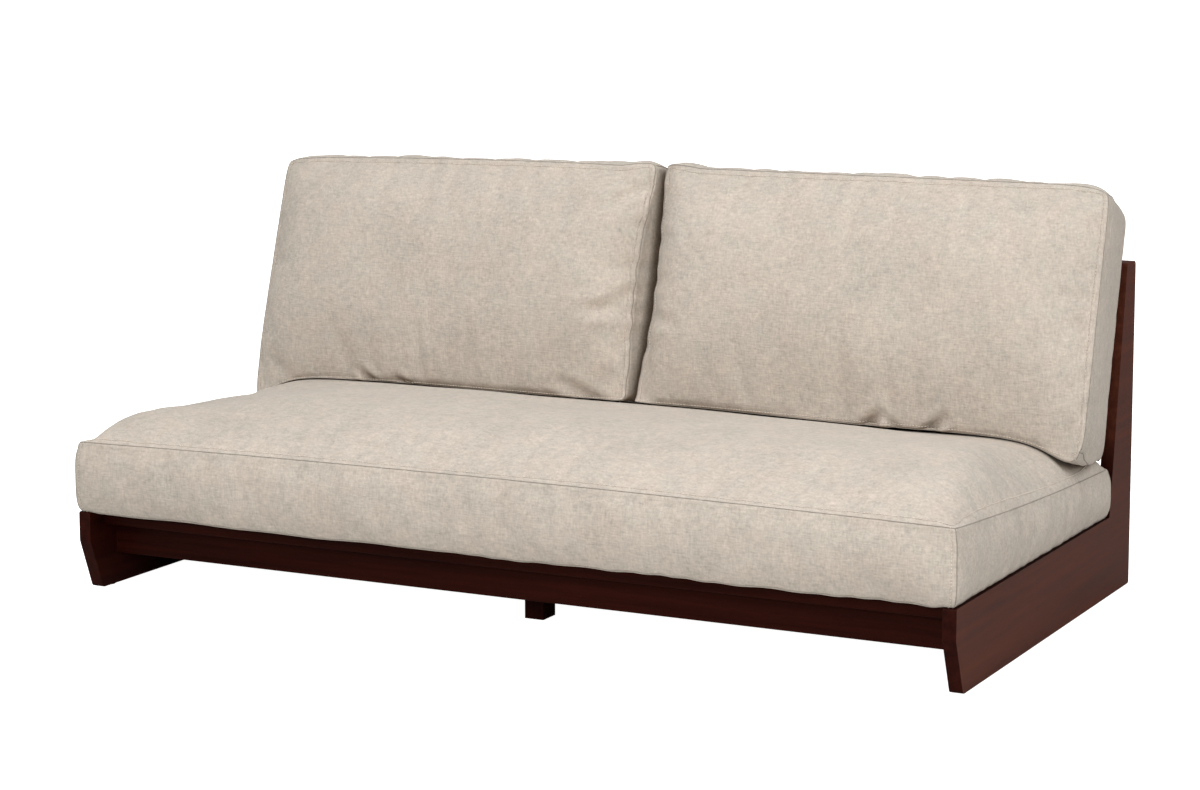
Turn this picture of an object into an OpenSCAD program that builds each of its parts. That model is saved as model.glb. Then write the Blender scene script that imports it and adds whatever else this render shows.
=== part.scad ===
// Armless sofa: a dark-stained board frame with a slatted deck and a slatted,
// raked back, one seat cushion over its full width and two loose back cushions.
// Lengths are millimetres. X runs along the sofa and is zero at its middle, the
// front faces -Y, Y is zero at half the whole depth, and Z is up from the floor.

/* [Overall] */
// Width over the two side panels
sofa_w = 1800; // [1400:10:2200]
// Depth of a side panel, front nose to rear edge
sofa_d = 980; // [860:10:1120]
// Height of the uprights above the floor
back_h = 640; // [560:5:720]
// Lean of the back from the vertical, in degrees
back_rake = 9.5; // [5:0.5:14]

/* [Side panels] */
// Thickness of a side panel
panel_t = 25; // [22:1:36]
// Height of the panels' seat edge above the floor
seat_edge_h = 157; // [145:1:200]
// Height of the upright nose at the front, above its bend
nose_h = 56; // [30:1:80]
// How far the front foot slants back on its way down
foot_setback = 38; // [0:1:80]
// Depth of an upright at its top
upright_top_d = 54; // [40:1:80]
// Radius at the top corners of an upright
upright_r = 9; // [2:1:16]
// Radius at the top of the nose
nose_r = 4; // [1:1:8]
// Radius at the bend of the nose
bend_r = 14; // [2:1:24]
// Radius at the toe of the front foot
toe_r = 9; // [2:1:12]
// Radius at the heel of a side panel
heel_r = 5; // [2:1:12]
// Radius in the corner between seat edge and upright
inner_r = 3; // [1:1:5]

/* [Front rail and apron] */
// Height of the front rail
front_rail_h = 32; // [24:1:40]
// How far the front rail stands back from the nose of the panels
front_rail_setback = 48; // [20:1:80]
// Radius along the front edges of the front rail
front_rail_r = 5; // [1:1:10]
// Height of the apron under the front rail
apron_h = 63; // [55:1:72]
// Thickness of the apron and of the rear rail
apron_t = 25; // [20:1:32]
// How far the apron stands back from the front of the front rail
apron_setback = 38; // [10:1:40]
// Radius along the lower edges of the apron, rear rail and bearer
lower_edge_r = 3; // [1:1:6]
// Gap between the rear rail and the foot of the back
rear_rail_gap = 5; // [2:1:20]

/* [Deck] */
// Number of deck slats in each half
deck_slats = 7; // [4:1:8]
// Width of a deck slat
deck_slat_w = 70; // [50:1:74]
// Thickness of a deck slat
deck_slat_t = 15; // [12:1:22]
// Radius along the top edges of a deck slat
deck_slat_r = 3; // [1:0.5:5]
// Gap left at each end of a deck slat
deck_slat_end_gap = 1; // [0.5:0.5:3]
// Thickness of a side ledger
ledger_t = 25; // [20:1:36]
// Height of a side ledger
ledger_h = 40; // [34:1:44]
// Width of the centre bearer
bearer_w = 44; // [40:2:70]

/* [Centre legs] */
// Width of a centre leg, along the sofa
leg_w = 40; // [30:1:60]
// Depth of a centre leg, front to back
leg_d = 50; // [36:1:70]
// How far the front centre leg stands back from the nose of the panels
leg_setback = 185; // [160:5:260]
// Radius down the corners of a centre leg
leg_r = 3; // [1:1:8]
// Thickness of a floor glide
glide_t = 2; // [1.5:0.5:4]
// Diameter of a floor glide
glide_d = 20; // [12:1:22]

/* [Back frame] */
// Height of the two back rails, along the lean
back_rail_h = 60; // [50:1:80]
// Thickness of the back rails and the centre stile
back_rail_t = 25; // [22:1:32]
// Radius along the edges of the back rails and the stile
back_edge_r = 4; // [1:1:6]
// Gap between the seat edge and the lower back rail
back_foot_gap = 22; // [12:1:50]
// How far the upper back rail stays below the top of the uprights
back_top_gap = 12; // [4:1:60]
// Width of the centre stile
stile_w = 60; // [50:2:100]
// Number of back slats in each half
back_slats = 6; // [3:1:8]
// Width of a back slat
back_slat_w = 60; // [40:1:80]
// Thickness of a back slat
back_slat_t = 12; // [8:1:14]
// Radius down the edges of a back slat
back_slat_r = 3; // [1:0.5:4]
// Depth of the mortises that hold the back slats
mortise_depth = 14; // [8:1:20]

/* [Joinery] */
// Diameter of a dowel
dowel_d = 8; // [6:1:10]
// Length of a dowel
dowel_l = 36; // [28:1:40]
// How far a dowel goes into its side panel
dowel_in_panel = 16; // [10:1:18]
// Play between a wooden joint and its hole
wood_fit = 0.1; // [0.05:0.05:0.3]
// Length of each arm of a corner bracket
bracket_arm = 52; // [46:1:60]
// Width of a corner bracket
bracket_w = 30; // [26:1:34]
// Thickness of a corner bracket
bracket_t = 3; // [2:0.5:4]
// Diameter of a bracket screw
bracket_screw_d = 4; // [3:0.5:5]
// Length of a bracket screw under its head
bracket_screw_l = 17; // [12:1:18]
// Diameter of a ledger screw
ledger_screw_d = 4.5; // [3.5:0.5:6]
// Number of screws in each ledger
ledger_screws = 5; // [3:1:7]
// Diameter of a slat screw
slat_screw_d = 3.5; // [3:0.5:4.5]
// Length of a slat screw
slat_screw_l = 32; // [24:1:34]
// Diameter of the bolt in the top of a centre leg
leg_bolt_d = 8; // [6:1:10]
// Length of the bolt in the top of a centre leg
leg_bolt_l = 56; // [40:1:64]

/* [Seat cushion] */
// Gap that a soft part keeps from its neighbours
soft_gap = 0.3; // [0.3:0.1:1]
// Height of the seat cushion's seam at the front
seat_front_h = 133; // [110:1:160]
// Height of the seat cushion's seam at the rear, under the back cushions
seat_rear_h = 95; // [80:1:120]
// Crown of the seat cushion above its seam
seat_crown = 84; // [40:1:90]
// How far the seat cushion's border swells out between its seams
seat_bulge = 8; // [3:1:14]
// How far the seat cushion's front seam stands back from the nose of the panels
seat_setback = 0; // [0:1:40]
// How far the seat cushion's side seams stand in from the panels' outer faces
seat_side_inset = 4; // [0:1:30]
// How far the seat cushion's corners are drawn in
seat_corner_pull = 6; // [2:1:20]

/* [Back cushions] */
// Height of a back cushion along the lean
cushion_h = 465; // [400:1:500]
// Depth of a back cushion's border at its foot
cushion_foot_d = 248; // [180:1:270]
// Depth of a back cushion's border at its top
cushion_top_d = 208; // [140:1:230]
// Crown of a back cushion in front of its seam
cushion_crown = 42; // [20:1:60]
// How far a back cushion's border swells out between its seams
cushion_bulge = 6; // [3:1:14]
// How far the pair of back cushions swells past the panels' outer faces at each end
cushion_overhang = 8; // [0:1:20]
// How far a back cushion's corners are drawn in
cushion_corner_pull = 16; // [6:1:34]
// How much lower the rear of a back cushion's foot hangs
cushion_heel = 28; // [0:1:40]
// How much lower the rear of a back cushion's top lies
cushion_fall = 32; // [0:1:40]
// Share of the seat's crown by which a back cushion's foot sags at its outer end
cushion_sag_share = 0.45; // [0:0.05:0.5]

/* [Foam cores] */
// Padding between a cover's outside and its foam core
padding = 24; // [18:1:34]
// Play between a foam core and its padding
core_gap = 0.3; // [0.3:0.1:1]

/* [Hidden] */

wood_colour = [0.24, 0.11, 0.08];
slat_colour = [0.62, 0.44, 0.27];
fabric_colour = [0.73, 0.68, 0.61];
foam_colour = [0.93, 0.88, 0.72];
steel_colour = [0.72, 0.73, 0.75];
$fn = 32;
// Overrun of every cut past the face that it starts from
cut = 1;
// Straight pieces in each rounded corner of an outline
arc_steps = 6;

// Places that several pieces share: Y is zero at half the depth with the front cushion's swell
front_swell = max(seat_bulge - seat_setback, 0);
front_y = (front_swell - sofa_d) / 2;
rear_y = (front_swell + sofa_d) / 2;
inner_x = sofa_w / 2 - panel_t;
panel_bottom = glide_t;
deck_z = seat_edge_h;
upright_y = rear_y - upright_top_d - (back_h - seat_edge_h) * tan(back_rake);
front_rail_y = front_y + front_rail_setback;
front_rail_z = deck_z - front_rail_h;
// The front rail reaches back as far as the apron under it
front_rail_d = apron_setback + apron_t;
apron_y = front_rail_y + apron_setback;
apron_back = apron_y + apron_t;
apron_z = front_rail_z - apron_h;
rear_rail_y = upright_y - rear_rail_gap - apron_t;
slat_bed_z = deck_z - deck_slat_t;
bearer_l = rear_rail_y - apron_back;
front_rail_back = front_rail_y + front_rail_d;
deck_slat_pitch = (rear_rail_y - front_rail_back + deck_slat_w) / (deck_slats + 1);
back_l = (back_h - seat_edge_h) / cos(back_rake);
back_top_rail_z = back_l - back_top_gap - back_rail_h;
back_span = back_top_rail_z - back_foot_gap - back_rail_h;
back_slat_pitch = (inner_x - stile_w / 2 + back_slat_w) / (back_slats + 1);

function unit(v) = v / norm(v);
function spun(v, a) = [v.x * cos(a) - v.y * sin(a), v.x * sin(a) + v.y * cos(a)];
function signed_power(v, p) = sign(v) * pow(abs(v), p);

// Arc of radius r in the corner p of an outline, between its neighbours a and b
function corner_arc(a, p, b, r) =
    let (to_a = unit(a - p), to_b = unit(b - p))
    let (half = acos(to_a * to_b) / 2, centre = p + unit(to_a + to_b) * r / sin(half))
    let (start = p + to_a * r / tan(half) - centre)
    let (turn = (2 * half - 180) * sign(cross(to_a, to_b)))
    [for (k = [0:arc_steps]) centre + spun(start, turn * k / arc_steps)];

// Outline through points [x, y, radius], with each corner rounded to its radius
function rounded_outline(points) =
    let (n = len(points), flat = [for (p = points) [p.x, p.y]])
    [for (i = [0:n - 1])
        each corner_arc(flat[(i + n - 1) % n], flat[i], flat[(i + 1) % n], points[i].z)];

// Rectangle outline with its four corners rounded: lower left, lower right, upper right, upper left
function rounded_box(w, h, radii) =
    rounded_outline([[0, 0, radii[0]], [w, 0, radii[1]], [w, h, radii[2]], [0, h, radii[3]]]);

// Extrusion along X of an outline drawn in Y and Z, centred on X = 0
module beam(length) {
    rotate([90, 0, 90])
        linear_extrude(length, center = true)
            children();
}

// Child cylinder or screw turned to run along +X
module along_x() {
    rotate([0, 90, 0])
        children();
}

// Frame of the leaning back: Z runs up the uprights' front edges, Y into the back
module on_back() {
    translate([0, upright_y, seat_edge_h])
        rotate([-back_rake, 0, 0])
            children();
}

// Place in Y and Z of a point given in the frame of the leaning back
function from_back(y, z) =
    [upright_y + y * cos(back_rake) + z * sin(back_rake),
     seat_edge_h - y * sin(back_rake) + z * cos(back_rake)];

/* Side panels */

module panel_outline() {
    polygon(rounded_outline([
        [front_y + foot_setback, panel_bottom, toe_r],
        [rear_y, panel_bottom, heel_r],
        [rear_y, back_h, upright_r],
        [rear_y - upright_top_d, back_h, upright_r],
        [upright_y, seat_edge_h, inner_r],
        [front_y, seat_edge_h, nose_r],
        [front_y, seat_edge_h - nose_h, bend_r]]));
}

module side_panel_right() {
    color(wood_colour)
        difference() {
            translate([inner_x + panel_t / 2, 0, 0])
                beam(panel_t)
                    panel_outline();
            for (at = rail_dowel_places)
                translate([inner_x - cut, at[0], at[1]])
                    along_x()
                        dowel_hole(dowel_in_panel + cut);
            bracket_screw_holes();
            ledger_screw_holes(1);
        }
}

module side_panel_left() {
    mirror([1, 0, 0])
        side_panel_right();
}

/* Rails */

// Places in Y and Z of the dowels in the ends of the five long rails
front_rail_dowels = [for (share = [0.25, 0.75])
    [front_rail_y + front_rail_d * share, front_rail_z + front_rail_h / 2]];
apron_dowels = [for (share = [0.25, 0.75])
    [apron_y + apron_t / 2, apron_z + apron_h * share]];
rear_rail_dowels = [for (share = [0.25, 0.75])
    [rear_rail_y + apron_t / 2, apron_z + (deck_z - apron_z) * share]];
back_bottom_dowels = [for (share = [0.25, 0.75])
    from_back(back_rail_t / 2, back_foot_gap + back_rail_h * share)];
back_top_dowels = [for (share = [0.25, 0.75])
    from_back(back_rail_t / 2, back_top_rail_z + back_rail_h * share)];
rail_dowel_places = concat(front_rail_dowels, apron_dowels, rear_rail_dowels,
                           back_bottom_dowels, back_top_dowels);

module dowel_hole(depth) {
    cylinder(d = dowel_d + 2 * wood_fit, h = depth);
}

// Dowel holes in both ends of a rail that spans the two panels
module rail_end_holes(places) {
    for (side = [-1, 1], at = places)
        translate([side * inner_x, at[0], at[1]])
            along_x()
                cylinder(d = dowel_d + 2 * wood_fit, h = 2 * (dowel_l - dowel_in_panel), center = true);
}

module deck_front_rail() {
    color(wood_colour)
        difference() {
            beam(2 * inner_x)
                translate([front_rail_y, front_rail_z])
                    polygon(rounded_box(front_rail_d, front_rail_h,
                        [front_rail_r, lower_edge_r, deck_slat_r, front_rail_r]));
            rail_end_holes(front_rail_dowels);
        }
}

module front_apron() {
    color(wood_colour)
        difference() {
            beam(2 * inner_x)
                translate([apron_y, apron_z])
                    polygon(rounded_box(apron_t, apron_h,
                        [lower_edge_r, lower_edge_r, wood_fit, wood_fit]));
            rail_end_holes(apron_dowels);
            bracket_screw_holes();
        }
}

module rear_seat_rail() {
    color(wood_colour)
        difference() {
            beam(2 * inner_x)
                translate([rear_rail_y, apron_z])
                    polygon(rounded_box(apron_t, deck_z - apron_z,
                        [lower_edge_r, lower_edge_r, deck_slat_r, deck_slat_r]));
            rail_end_holes(rear_rail_dowels);
            bracket_screw_holes();
        }
}

/* Deck */

module centre_bearer() {
    color(wood_colour)
        difference() {
            translate([0, apron_back, apron_z])
                rotate([90, 0, 180])
                    linear_extrude(bearer_l)
                        translate([-bearer_w / 2, 0])
                            polygon(rounded_box(bearer_w, slat_bed_z - apron_z,
                                [lower_edge_r, lower_edge_r, wood_fit, wood_fit]));
            bracket_screw_holes();
            slat_screw_holes();
            for (y = leg_centres)
                translate([0, y, apron_z - cut])
                    cylinder(d = leg_bolt_d + 2 * wood_fit, h = leg_bolt_l / 2 + cut);
        }
}

// Cleat on the inside of a panel that carries the outer ends of the slats
module side_ledger(side) {
    color(slat_colour)
        difference() {
            translate([side * (inner_x - ledger_t / 2), (apron_back + rear_rail_y) / 2,
                       slat_bed_z - ledger_h / 2])
                cube([ledger_t, bearer_l, ledger_h], center = true);
            ledger_screw_holes(side);
            slat_screw_holes();
        }
}

deck_slat_l = inner_x - 2 * deck_slat_end_gap;

// Middle in Y of deck slat n, counted from the front
function deck_slat_y(n) = front_rail_back - deck_slat_w / 2 + n * deck_slat_pitch;

module deck_slat(side, n) {
    color(slat_colour)
        difference() {
            translate([side * (deck_slat_end_gap + deck_slat_l / 2),
                       deck_slat_y(n) - deck_slat_w / 2, slat_bed_z])
                beam(deck_slat_l)
                    polygon(rounded_box(deck_slat_w, deck_slat_t,
                        [wood_fit, wood_fit, deck_slat_r, deck_slat_r]));
            for (x = slat_screw_xs)
                translate([side * x, deck_slat_y(n), deck_z])
                    slat_screw_hole();
        }
}

/* Centre legs */

leg_centres = [front_y + leg_setback + leg_d / 2,
               rear_rail_y - (front_y + leg_setback - apron_back) - leg_d / 2];

module centre_leg(y) {
    color(wood_colour)
        difference() {
            translate([-leg_w / 2, y - leg_d / 2, panel_bottom])
                linear_extrude(apron_z - panel_bottom)
                    polygon(rounded_box(leg_w, leg_d, [leg_r, leg_r, leg_r, leg_r]));
            translate([0, y, apron_z - leg_bolt_l / 2])
                cylinder(d = leg_bolt_d + 2 * wood_fit, h = leg_bolt_l / 2 + cut);
        }
}

/* Back frame */

// Half-widths of the bays start at the stile; middle in X of back slat n
function back_slat_x(n) = stile_w / 2 - back_slat_w / 2 + n * back_slat_pitch;

// Rail across the back, from height z along the lean, with mortises on the side towards mouth
module back_rail(z, mouth, dowels) {
    color(wood_colour)
        difference() {
            on_back()
                difference() {
                    translate([0, 0, z])
                        beam(2 * inner_x)
                            polygon(rounded_box(back_rail_t, back_rail_h,
                                [back_edge_r, back_edge_r, back_edge_r, back_edge_r]));
                    for (side = [-1, 1], n = [1:back_slats])
                        translate([side * back_slat_x(n), back_rail_t / 2, mouth])
                            cube([back_slat_w + 2 * wood_fit, back_slat_t + 2 * wood_fit,
                                  2 * mortise_depth], center = true);
                    for (x = stile_dowel_xs)
                        translate([x, back_rail_t / 2, mouth])
                            cylinder(d = dowel_d + 2 * wood_fit, h = dowel_l, center = true);
                }
            rail_end_holes(dowels);
        }
}

stile_dowel_xs = [-stile_w / 4, stile_w / 4];

module back_centre_stile() {
    color(wood_colour)
        on_back()
            difference() {
                translate([-stile_w / 2, 0, back_foot_gap + back_rail_h])
                    linear_extrude(back_span)
                        polygon(rounded_box(stile_w, back_rail_t,
                            [back_edge_r, back_edge_r, back_edge_r, back_edge_r]));
                for (x = stile_dowel_xs, z = [back_foot_gap + back_rail_h, back_top_rail_z])
                    translate([x, back_rail_t / 2, z])
                        cylinder(d = dowel_d + 2 * wood_fit, h = dowel_l, center = true);
            }
}

// Upright slat with its ends in the mortises of the two back rails
module back_slat(side, n) {
    color(wood_colour)
        on_back()
            translate([side * back_slat_x(n) - back_slat_w / 2, (back_rail_t - back_slat_t) / 2,
                       back_foot_gap + back_rail_h - mortise_depth])
                linear_extrude(back_span + 2 * mortise_depth)
                    polygon(rounded_box(back_slat_w, back_slat_t,
                        [back_slat_r, back_slat_r, back_slat_r, back_slat_r]));
}

/* Dowels, brackets, screws, bolts and glides */

// Fluted dowels are drawn plain; both ends are chamfered
dowel_chamfer = 1;

module dowel() {
    r = dowel_d / 2;
    rotate_extrude()
        polygon([[0, 0], [r - dowel_chamfer, 0], [r, dowel_chamfer],
                 [r, dowel_l - dowel_chamfer], [r - dowel_chamfer, dowel_l], [0, dowel_l]]);
}

module rail_dowels() {
    color(slat_colour) {
        for (side = [-1, 1], at = rail_dowel_places)
            translate([side * (inner_x + dowel_in_panel), at[0], at[1]])
                rotate([0, -side * 90, 0])
                    dowel();
        on_back()
            for (x = stile_dowel_xs, z = [back_foot_gap + back_rail_h, back_top_rail_z])
                translate([x, back_rail_t / 2, z - dowel_l / 2])
                    dowel();
    }
}

// Corners [x, y, direction in x, direction in y] that hold a bracket
bracket_corners = [for (side = [-1, 1], row = [[apron_back, 1], [rear_rail_y, -1]])
    each [[side * inner_x, row[0], -side, row[1]], [side * bearer_w / 2, row[0], side, row[1]]]];
bracket_z = (apron_z + slat_bed_z - ledger_h - bracket_w) / 2;
// Holes [distance from the corner, height] in each arm
bracket_hole_shares = [[0.5, 0.3], [0.82, 0.7]];
bracket_head_d = 2 * bracket_screw_d;
bracket_head_h = bracket_screw_d * 0.6;

// Bracket, or what goes in its holes, put in one of the eight corners
module in_corner(at) {
    translate([at[0], at[1], bracket_z])
        mirror([1 - at[2], 0, 0])
            mirror([0, 1 - at[3], 0])
                children();
}

// Children at each hole of a bracket, with Z pointing out of the wood
module at_bracket_holes() {
    for (share = bracket_hole_shares) {
        translate([bracket_arm * share[0], 0, bracket_w * share[1]])
            rotate([-90, 0, 0])
                children();
        translate([0, bracket_arm * share[0], bracket_w * share[1]])
            rotate([0, 90, 0])
                children();
    }
}

module corner_brackets() {
    color(steel_colour)
        for (at = bracket_corners)
            in_corner(at)
                difference() {
                    linear_extrude(bracket_w)
                        polygon([[0, 0], [bracket_arm, 0], [bracket_arm, bracket_t],
                                 [bracket_t, bracket_t], [bracket_t, bracket_arm], [0, bracket_arm]]);
                    at_bracket_holes()
                        translate([0, 0, -cut])
                            cylinder(d = bracket_screw_d + 4 * wood_fit, h = bracket_t + 2 * cut);
                }
}

// Pan-head screw along -Z, its head standing on the bracket
module bracket_screw() {
    r = bracket_screw_d / 2;
    depth = bracket_screw_l - bracket_t;
    rotate_extrude()
        polygon([[0, -depth], [r, -depth + r], [r, bracket_t], [bracket_head_d / 2, bracket_t],
                 [bracket_head_d / 2 - bracket_head_h / 2, bracket_t + bracket_head_h],
                 [0, bracket_t + bracket_head_h]]);
}

module bracket_screws() {
    color(steel_colour)
        for (at = bracket_corners)
            in_corner(at)
                at_bracket_holes()
                    bracket_screw();
}

module bracket_screw_holes() {
    for (at = bracket_corners)
        in_corner(at)
            at_bracket_holes()
                translate([0, 0, bracket_t - bracket_screw_l])
                    cylinder(d = bracket_screw_d + 2 * wood_fit, h = bracket_screw_l);
}

// Countersunk wood screw along -Z with its head flush at Z = 0
module wood_screw(d, length) {
    r = d / 2;
    rotate_extrude()
        polygon([[0, -length], [r, -length + d], [r, -r], [d, 0], [0, 0]]);
}

// Hole for a countersunk wood screw, open above Z = 0
module wood_screw_hole(d, length) {
    r = d / 2;
    rotate_extrude()
        polygon([[0, -length], [r + wood_fit, -length], [r + wood_fit, -r],
                 [d + wood_fit, 0], [d + wood_fit, cut], [0, cut]]);
}

ledger_screw_l = ledger_t + panel_t * 0.75;
ledger_screw_z = slat_bed_z - ledger_h * 0.7;

// Places in Y of the ledger screws, each midway between two slats
ledger_screw_ys = [for (k = [1:ledger_screws])
    deck_slat_y(round(k * deck_slats / (ledger_screws + 1))) + deck_slat_pitch / 2];

module at_ledger_screws(side) {
    for (y = ledger_screw_ys)
        translate([side * (inner_x - ledger_t), y, ledger_screw_z])
            rotate([0, -side * 90, 0])
                children();
}

module ledger_screws() {
    color(steel_colour)
        for (side = [-1, 1])
            at_ledger_screws(side)
                wood_screw(ledger_screw_d, ledger_screw_l);
}

module ledger_screw_holes(side) {
    at_ledger_screws(side)
        wood_screw_hole(ledger_screw_d, ledger_screw_l);
}

// Places in X of the two screws of a slat: over the bearer and over the ledger
slat_screw_xs = [(bearer_w / 2 + deck_slat_end_gap) / 2, inner_x - (ledger_t + deck_slat_end_gap) / 2];

module slat_screw_hole() {
    wood_screw_hole(slat_screw_d, slat_screw_l);
}

module at_slat_screws() {
    for (side = [-1, 1], x = slat_screw_xs, n = [1:deck_slats])
        translate([side * x, deck_slat_y(n), deck_z])
            children();
}

module slat_screws() {
    color(steel_colour)
        at_slat_screws()
            wood_screw(slat_screw_d, slat_screw_l);
}

module slat_screw_holes() {
    at_slat_screws()
        slat_screw_hole();
}

leg_bolt_chamfer = 1;

module leg_bolts() {
    r = leg_bolt_d / 2;
    color(steel_colour)
        for (y = leg_centres)
            translate([0, y, apron_z - leg_bolt_l / 2])
                rotate_extrude()
                    polygon([[0, 0], [r - leg_bolt_chamfer, 0], [r, leg_bolt_chamfer],
                             [r, leg_bolt_l - leg_bolt_chamfer],
                             [r - leg_bolt_chamfer, leg_bolt_l], [0, leg_bolt_l]]);
}

// Distance from the end of a panel's foot to its glide
glide_inset = 40;
panel_glide_ys = [front_y + foot_setback + glide_inset, rear_y - glide_inset];

module floor_glides() {
    color("dimgray") {
        for (side = [-1, 1], y = panel_glide_ys)
            translate([side * (inner_x + panel_t / 2), y, 0])
                cylinder(d = glide_d, h = glide_t);
        for (y = leg_centres)
            translate([0, y, 0])
                cylinder(d = glide_d, h = glide_t);
    }
}

/* Cushions */

// Cells of a cushion's crowned face along its length and across it, and rings up its border
face_cells = [28, 14];
border_rings = 4;
// How far the border is drawn in where it meets the underside
border_tuck = 4;
// Powers that shape a cushion: its corners, its crown towards its ends, towards v = -1 and
// towards v = 1, and the sag of its foot
corner_power = 12;
crown_end_power = 9;
crown_near_power = 2.4;
crown_far_power = 4;
sag_power = 4;

// Closer spacing towards the edges: place from -1 to 1 of line i of n
function spread(i, n) = sin(90 * (2 * i / n - 1));

// Entries of a cushion's list of sizes: half its length, its width, the height of its
// border at v = -1 and at v = 1, its crown, the swell of its border, how far the underside
// reaches past v = -1 and stays short of v = 1, the pull of its corners and the sag at u = 1
HALF = 0;
WIDTH = 1;
NEAR_H = 2;
FAR_H = 3;
CROWN = 4;
BULGE = 5;
HEEL = 6;
FALL = 7;
PULL = 8;
SAG = 9;
seat_sizes = [sofa_w / 2 - seat_side_inset,
              upright_y - soft_gap - seat_bulge - front_y - seat_setback,
              seat_front_h, seat_rear_h, seat_crown, seat_bulge, 0, 0, seat_corner_pull, 0];
back_cushion_half = (sofa_w / 2 + cushion_overhang) / 2 - cushion_bulge - soft_gap;
back_sizes = [back_cushion_half, cushion_h, cushion_foot_d, cushion_top_d, cushion_crown,
              cushion_bulge, cushion_heel, cushion_fall, cushion_corner_pull,
              seat_crown * cushion_sag_share];

function border_height(s, v) = s[NEAR_H] + (s[FAR_H] - s[NEAR_H]) * (v + 1) / 2;

function sag(s, u, v) = s[SAG] * pow(max(u, 0), sag_power) * pow((1 - v) / 2, 2);

// Seam line seen from the face: a rectangle whose corners are drawn in
function seam_x(s, u, v) = s[HALF] * u
    - s[PULL] * signed_power(u, corner_power) * pow(abs(v), corner_power);
function seam_y(s, u, v) = s[WIDTH] * (v + 1) / 2 - sag(s, u, v)
    - s[PULL] * signed_power(v, corner_power) * pow(abs(u), corner_power);

// Point of the crowned face at u along and v across, both from -1 to 1
function face_point(s, u, v) = [seam_x(s, u, v), seam_y(s, u, v),
    border_height(s, v) + s[CROWN] * max(1 - pow(abs(u), crown_end_power), 0)
        * max(1 - pow(abs(v), v < 0 ? crown_near_power : crown_far_power), 0)];

// How far the border stands out of the seam line at share t of its height
function swell(s, t) = s[BULGE] * sin(180 * t) - border_tuck * pow(1 - t, 3);

// Point of the border at share t of its height
function border_point(s, u, v, t) =
    let (out = unit([signed_power(u, corner_power), signed_power(v, corner_power)]) * swell(s, t))
    let (drop = (1 - t) * (s[HEEL] * pow((1 - v) / 2, 3) + s[FALL] * pow((1 + v) / 2, 3)))
    [seam_x(s, u, v) + out.x, seam_y(s, u, v) + out.y - drop, border_height(s, v) * t];

// Cell corner [i, j] of step k round the edge of the face
function edge_cell(k) =
    let (a = face_cells[0], b = face_cells[1], m = k % (2 * (a + b)))
    m < a ? [m, 0] : m < a + b ? [a, m - a] : m < 2 * a + b ? [2 * a + b - m, b] : [0, 2 * (a + b) - m];

// Closed cushion: crowned face upwards, border with its bulge, flat underside at Z = 0
module cushion_form(s) {
    a = face_cells[0];
    b = face_cells[1];
    edge = 2 * (a + b);
    grid = (a + 1) * (b + 1);
    face = [for (j = [0:b], i = [0:a]) face_point(s, spread(i, a), spread(j, b))];
    border = [for (ring = [0:border_rings - 1], k = [0:edge - 1])
        let (at = edge_cell(k))
        border_point(s, spread(at[0], a), spread(at[1], b), ring / border_rings)];
    function face_index(i, j) = j * (a + 1) + i;
    function ring_index(ring, k) = let (at = edge_cell(k))
        ring < border_rings ? grid + ring * edge + k % edge : face_index(at[0], at[1]);
    face_triangles = [for (j = [0:b - 1], i = [0:a - 1])
        each [[face_index(i, j), face_index(i, j + 1), face_index(i + 1, j + 1)],
              [face_index(i, j), face_index(i + 1, j + 1), face_index(i + 1, j)]]];
    border_triangles = [for (ring = [0:border_rings - 1], k = [0:edge - 1])
        each [[ring_index(ring, k), ring_index(ring + 1, k), ring_index(ring + 1, k + 1)],
              [ring_index(ring, k), ring_index(ring + 1, k + 1), ring_index(ring, k + 1)]]];
    underside = [for (k = [0:edge - 1]) [grid + k, grid + (k + 1) % edge, grid + border_rings * edge]];
    polyhedron(concat(face, border, [[0, s[WIDTH] / 2, 0]]),
               concat(face_triangles, border_triangles, underside));
}

// Foam block inside a cushion, larger by grow on every side
module core_form(s, grow) {
    y0 = padding - grow;
    y1 = s[WIDTH] - s[FALL] - padding + grow;
    z0 = padding / 2 - grow;
    function top(y) = border_height(s, 2 * y / s[WIDTH] - 1) - padding / 2 + grow;
    rotate([90, 0, 90])
        linear_extrude(2 * (s[HALF] - padding + grow), center = true)
            polygon([[y0, z0], [y1, z0], [y1, top(y1)], [y0, top(y0)]]);
}

module cushion_cover(s) {
    color(fabric_colour)
        difference() {
            cushion_form(s);
            core_form(s, core_gap);
        }
}

module foam_core(s) {
    color(foam_colour)
        core_form(s, 0);
}

seat_y0 = front_y + seat_setback;

module on_deck() {
    translate([0, seat_y0, deck_z + soft_gap])
        children();
}

module seat_cushion() {
    on_deck()
        cushion_cover(seat_sizes);
}

module seat_foam_core() {
    on_deck()
        foam_core(seat_sizes);
}

// Height of the top of the seat cushion over the floor
function seat_top(x, y) = deck_z + soft_gap
    + face_point(seat_sizes, x / seat_sizes[HALF], 2 * (y - seat_y0) / seat_sizes[WIDTH] - 1).z;

// Middle in X of the back cushion on one side
function back_cushion_x(side) = side * (back_cushion_half + cushion_bulge + soft_gap);

// Height up the lean of the seat's top at a distance out from the back, when that height is near w
function seat_up_lean(x, out, w) =
    (seat_top(x, upright_y - out * cos(back_rake) + w * sin(back_rake))
        - seat_edge_h - out * sin(back_rake)) / cos(back_rake);

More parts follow.
